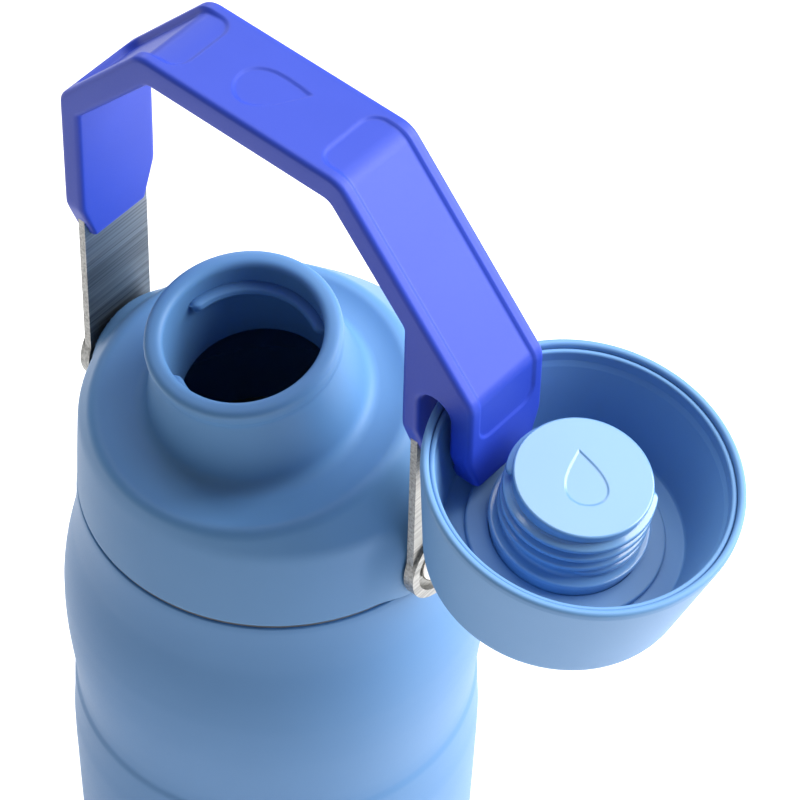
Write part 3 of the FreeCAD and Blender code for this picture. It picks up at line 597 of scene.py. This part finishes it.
s_r0, s_r1 = s_at(21.5, 133.1), s_at(71.05, 73.6)
s_l0, s_l1 = s_at(-20.6, 133.1), s_at(-54.6, 106.0)
s_lc = s_at(-30.5, 133.1)
dent = panel(s_r0, s_r1, 9.6, 4.2, lambda s: 0.5 + 0 * s, 0.3)
dent += panel(s_l0, s_l1, 9.6, 4.2, lambda s: 0.5 + 1.3 * smoothstep(-s, -s_l0 + 2, -s_lc + 6), 0.45)
sx = np.repeat(sarc[None, :], NL, 0)
on_top = (np.abs(sx) < 20)
dm = polygon_distance(np.where(on_top, sx, 99.0), gy, drop_outline(0.0, 0.0, 18.0, math.radians(-62)))
dent += 0.4 * (1 - smoothstep(dm, -0.25, 0.25))
gx = gx - nrm[None, :, 0] * dent
gz = gz - nrm[None, :, 1] * dent


def ends(y, z):
    """Both lower ends are narrowed by slanted cuts."""
    d = 12.0 - (z - GB)
    s = (d + np.sqrt(d * d + 0.8)) / 2
    return y * (1 - 4.4 * (s / 12.0) / GW)


gv = np.stack([gx, ends(gy, gz), gz], -1).reshape(-1, 3)
gi = np.arange(NL * n_o).reshape(NL, n_o)
gq = np.stack([gi[:-1], np.roll(gi, -1, 1)[:-1], np.roll(gi, -1, 1)[1:], gi[1:]], -1).reshape(-1, 4).tolist()
# Side faces: the outline filled with a fine triangle net.
cap_poly = pos[0]
lo_p, hi_p = cap_poly.min(0), cap_poly.max(0)
xs = np.arange(lo_p[0] + 0.7, hi_p[0], 1.5)
zz = np.arange(lo_p[1] + 0.7, hi_p[1], 1.5)
mx, mz = np.meshgrid(xs, zz)
dist = polygon_distance(mx.ravel(), mz.ravel(), cap_poly[::2])
inner_pts = np.stack([mx.ravel(), mz.ravel()], 1)[dist < -0.6]
allp = [Vector(p) for p in np.vstack([cap_poly, inner_pts])]
edges = [(i, (i + 1) % n_o) for i in range(n_o)]
cv, ce, cf, ov, oe, of_ = delaunay_2d_cdt(allp, edges, [], 1, 1e-7)
if len(cv) != len(allp):
    raise RuntimeError("the side face net changed its points: %d %d" % (len(cv), len(allp)))
order = [o[0] for o in ov]
verts = gv.tolist()
for row, sgn in ((0, -1.0), (NL - 1, 1.0)):
    index = {}
    for k, src in enumerate(order):
        if src < n_o:
            index[k] = row * n_o + src
        else:
            p = allp[src]
            index[k] = len(verts)
            verts.append((p[0], float(ends(sgn * GW, np.array(p[1]))), p[1]))
    for tri in cf:
        t = [index[i] for i in tri]
        gq.append(tuple(t))
gv = np.array(verts)
me_faces = gq
grip_mesh = bpy.data.meshes.new("grip_sleeve")
grip_mesh.from_pydata((gv / 1000.0).tolist(), [], me_faces)
import bmesh
bm = bmesh.new()
bm.from_mesh(grip_mesh)
bmesh.ops.recalc_face_normals(bm, faces=bm.faces[:])
bm.to_mesh(grip_mesh)
bm.free()
grip_mesh.polygons.foreach_set("use_smooth", [True] * len(grip_mesh.polygons))
grip_mesh.materials.append(M_GRIP)
grip = bpy.data.objects.new("grip_sleeve", grip_mesh)
bpy.context.scene.collection.objects.link(grip)
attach(grip, "handle")
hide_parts("handle_grip")


# -------------------------------------------------------------- screw heads
def screw_head(sgn):
    """Low polished head with a six-lobed socket, on its threaded shank."""
    n = 96
    t = np.arange(n) * 2 * math.pi / n
    x1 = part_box("pivot_screws")[1].x * 1000.0
    x0 = x1 - 1.2
    prof = [(0.0, 43.5), (2.3, 43.5), (2.45, 43.8), (2.45, 50.9), (4.1, 51.0), (4.25, 51.15), (4.25, x0), (7.0, x0), (7.25, x0 + 0.1),
            (7.4, x0 + 0.35), (7.3, x0 + 0.7), (6.9, x1 - 0.2), (6.2, x1 - 0.04), (5.4, x1), (4.4, x1), (3.6, x1)]
    verts, rows_ = [], []
    for r, x in prof:
        if r < 1e-6:
            rows_.append([len(verts)] * n)
            verts.append((x, 0, 0))
        else:
            rows_.append(list(range(len(verts), len(verts) + n)))
            verts.extend(zip([x] * n, r * np.cos(t), r * np.sin(t)))
    lobe = 2.35 + 0.38 * np.cos(6 * t)
    for k, depth in ((1.12, 0.0), (1.03, 0.02), (1.0, 0.1), (0.98, 0.9), (0.93, 1.0), (0.5, 1.05)):
        rows_.append(list(range(len(verts), len(verts) + n)))
        verts.extend(zip([x1 - depth] * n, k * lobe * np.cos(t), k * lobe * np.sin(t)))
    rows_.append([len(verts)] * n)
    verts.append((x1 - 1.05, 0, 0))
    faces = []
    for a, b in zip(rows_[:-1], rows_[1:]):
        for j in range(n):
            k = (j + 1) % n
            if a[0] == a[-1]:
                faces.append((a[0], b[j], b[k]))
            elif b[0] == b[-1]:
                faces.append((a[j], b[0], a[k]))
            else:
                faces.append((a[j], b[j], b[k], a[k]))
    vv = np.array(verts)
    vv[:, 0] *= sgn
    vv[:, 2] += PIVOT_Z
    return vv, faces


va, fa = screw_head(1.0)
if volume(va, fa) < 0:
    fa = [tuple(reversed(q)) for q in fa]
vb, fb_ = screw_head(-1.0)
if volume(vb, fb_) < 0:
    fb_ = [tuple(reversed(q)) for q in fb_]
off = len(va)
screws = make("pivot_screw_pair", np.vstack([va, vb]), fa + [tuple(i + off for i in q) for q in fb_], "lid", M_POLISHED,
              ["pivot_screws"])


# ------------------------------------------------ carried-over metal and seals
def dress(node, mat, bevel=0.0, seg=3, angle=28):
    o = frame["nodes"][node]
    o.data.materials.clear()
    o.data.materials.append(mat)
    for p in o.data.polygons:
        p.material_index = 0
    if bevel:
        wl = o.modifiers.new("weld", "WELD")
        wl.merge_threshold = 1e-6
        bv = o.modifiers.new("bevel", "BEVEL")
        bv.width = bevel / 1000.0
        bv.segments = seg
        bv.limit_method = "ANGLE"
        bv.angle_limit = math.radians(angle)
        bv.harden_normals = True
    return o


dress("handle_strap", M_STEEL)
dress("inner_liner", M_STEEL_IN)
dress("liner_base", M_STEEL_IN)
dress("base_plate", M_STEEL_IN)
dress("vacuum_seal", M_POLISHED, 0.1, 2)
dress("getter", M_DARK, 0.2, 2)
dress("lid_gasket", M_SILICONE, 0.15, 2)
dress("lid_collar", M_LID)
dress("pivot_inserts", M_BRASS)
dress("bearing_washers", M_NYLON)
dress("spring_washers", M_POLISHED)
dress("cap_foam", M_FOAM)


# --------------------------------------------------------------------- stage
def plain(name, col, rough):
    m = bpy.data.materials.new(name)
    m.use_nodes = True
    b = m.node_tree.nodes["Principled BSDF"]
    b.inputs["Base Color"].default_value = (*col, 1)
    b.inputs["Roughness"].default_value = rough
    b.inputs["Emission Color"].default_value = (1, 1, 1, 1)
    b.inputs["Emission Strength"].default_value = 0.4
    return m


fm = bpy.data.meshes.new("floor")
R = 4.0
fm.from_pydata([(-R, -R, 0), (R, -R, 0), (R, R, 0), (-R, R, 0)], [], [(0, 1, 2, 3)])
fm.materials.append(plain("pale_floor", (0.9, 0.9, 0.9), 0.7))
floor = bpy.data.objects.new("floor", fm)
bpy.context.scene.collection.objects.link(floor)

world = bpy.data.worlds.new("studio")
bpy.context.scene.world = world
world.use_nodes = True
world.node_tree.nodes["Background"].inputs["Color"].default_value = (1.0, 1.0, 1.0, 1)
world.node_tree.nodes["Background"].inputs["Strength"].default_value = 0.22

# Camera frame of the view: fitted directions.
a, e, roll = 0.689, 0.848, 0.028
back = np.array([math.sin(a) * math.cos(e), -math.cos(a) * math.cos(e), math.sin(e)])
right = np.array([math.cos(a), math.sin(a), 0.0])
up = np.cross(back, right)
R2 = math.cos(roll) * right + math.sin(roll) * up
U2 = -math.sin(roll) * right + math.cos(roll) * up
cam_pos = (back * 966.388 - R2 * -28.078 - U2 * -16.389) * 1.1 + np.array([0, 0, S])
cam_data = bpy.data.cameras.new("camera")
cam_data.sensor_width = 36.0
cam_data.lens = 192.65
cam_data.clip_start = 0.05
cam_data.clip_end = 50.0
cam = bpy.data.objects.new("camera", cam_data)
bpy.context.scene.collection.objects.link(cam)
cam.matrix_world = Matrix(((R2[0], U2[0], back[0], cam_pos[0] / 1000), (R2[1], U2[1], back[1], cam_pos[1] / 1000),
                           (R2[2], U2[2], back[2], cam_pos[2] / 1000), (0, 0, 0, 1)))
bpy.context.scene.camera = cam


def softbox(name, direction, dist, size_x, size_y, power, colour=(1, 1, 1), target=(0.02, 0.0, 0.22)):
    d = Vector(direction).normalized()
    ld = bpy.data.lights.new(name, "AREA")
    ld.shape = "RECTANGLE"
    ld.size, ld.size_y = size_x, size_y
    ld.energy = power
    ld.color = colour
    o = bpy.data.objects.new(name, ld)
    bpy.context.scene.collection.objects.link(o)
    o.location = Vector(target) + d * dist
    o.rotation_mode = "QUATERNION"
    o.rotation_quaternion = d.to_track_quat("Z", "Y")
    return o


hb = Vector((math.sin(a), -math.cos(a), 0.0))
hr = Vector((math.cos(a), math.sin(a), 0.0))
Z = Vector((0, 0, 1))
softbox("key_right", hr * 1.0 - hb * 0.2 + Z * 0.65, 1.1, 0.9, 0.9, 22.0)
softbox("overhead", Z * 1.0 + hr * 0.1 - hb * 0.3, 1.3, 0.9, 0.9, 9.0)
softbox("back_edge", -hb * 0.9 - hr * 0.4 + Z * 0.55, 1.3, 0.8, 0.6, 5.0)

bpy.context.scene.view_settings.view_transform = "Standard"
bpy.context.scene.view_settings.look = "None"
bpy.context.scene.view_settings.exposure = 0.0
